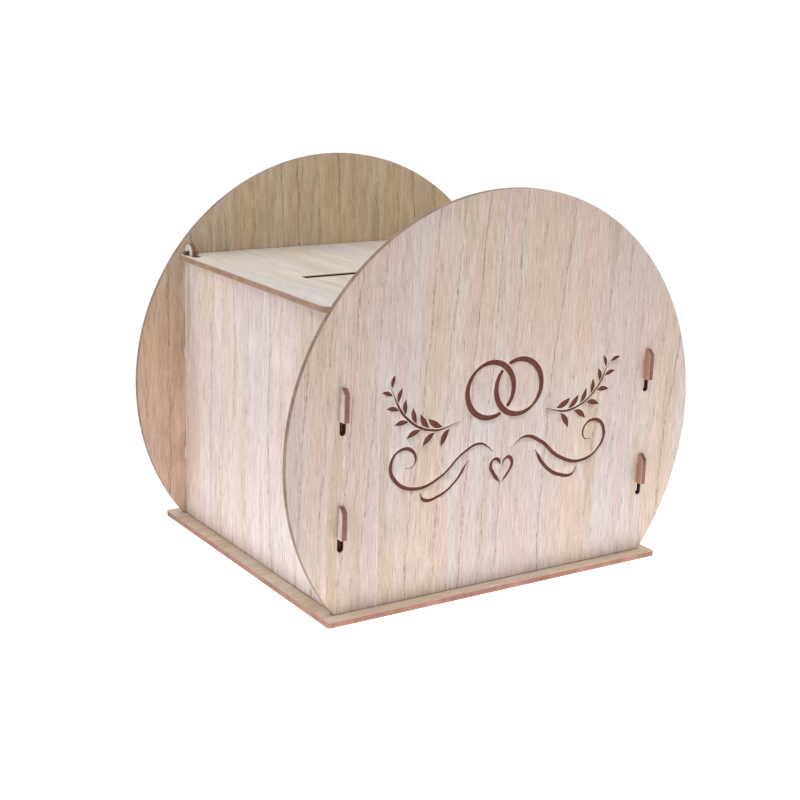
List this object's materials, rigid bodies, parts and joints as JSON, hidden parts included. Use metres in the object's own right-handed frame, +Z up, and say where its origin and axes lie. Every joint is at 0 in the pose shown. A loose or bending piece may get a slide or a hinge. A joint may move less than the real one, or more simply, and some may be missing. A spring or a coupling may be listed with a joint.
{
  "type": "wedding card box",
  "caption": "Tabletop card box of thin veneered board: round front and rear panels hooked onto side panels over a base plate, with a hinged lid that has a card slit.",
  "frame": {"origin": "middle of the underside of the base plate, on the surface the box stands on", "axes": "+X to the right along the round front panel, +Y from the front panel to the rear panel, +Z up"},
  "size_m": [0.235, 0.176, 0.1943],
  "materials": {
    "veneered_board": "unfinished pale veneer, straight grain, laser-browned cut edges",
    "dowel_wood": "toasted dark dowel"
  },
  "bodies": {
    "box": {"base_plate": "veneered_board", "left_side_panel": "veneered_board", "right_side_panel": "veneered_board", "left_hinge_pin": "dowel_wood", "right_hinge_pin": "dowel_wood"},
    "lid": {"lid": "veneered_board"},
    "front_disc": {"front_disc": "veneered_board"},
    "rear_disc": {"rear_disc": "veneered_board"}
  },
  "joints": [
    {"name": "lid_hinge", "type": "hinge", "parent": "box", "child": "lid", "pos_m": [0, 0.074, 0.1462], "axis": [-1, 0, 0], "range_deg": [0, 96]},
    {"name": "front_disc_lift", "type": "slide", "parent": "box", "child": "front_disc", "axis": [0, 0, 1], "range_m": [0, 0.0054]},
    {"name": "rear_disc_lift", "type": "slide", "parent": "box", "child": "rear_disc", "axis": [0, 0, 1], "range_m": [0, 0.0054]}
  ]
}
